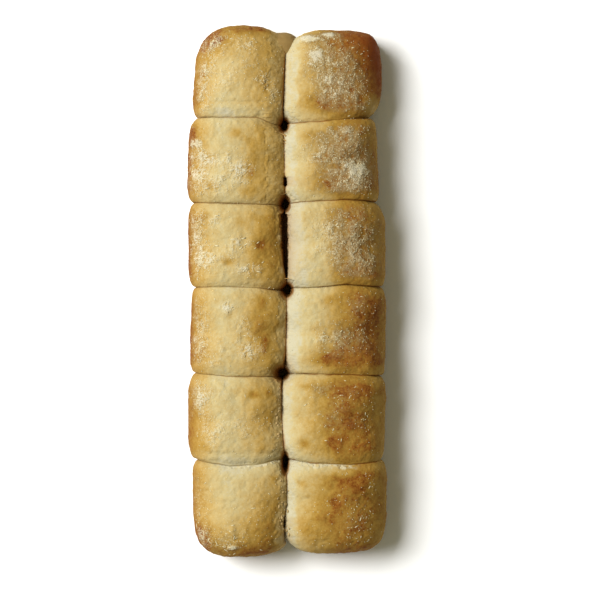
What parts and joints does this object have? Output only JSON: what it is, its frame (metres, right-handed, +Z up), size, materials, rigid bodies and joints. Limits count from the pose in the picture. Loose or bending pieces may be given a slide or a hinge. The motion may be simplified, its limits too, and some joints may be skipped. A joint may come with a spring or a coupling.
{
  "type": "pull-apart bread",
  "caption": "Batch of soft floury rolls baked together side by side, domed on top and flat below, with creases between rolls and pits where their corners meet.",
  "frame": {"origin": "centre of the flat base's bounding box, on the surface the bread rests on", "axes": "+Y along the length towards the end whose left roll reaches furthest, +X across the two columns, +Z up out of the crowns"},
  "size_m": [0.1198, 0.3194, 0.046],
  "materials": {
    "crust": "matte golden baked crust dusted with flour"
  },
  "bodies": {
    "root": {"bread": "crust"}
  },
  "joints": []
}
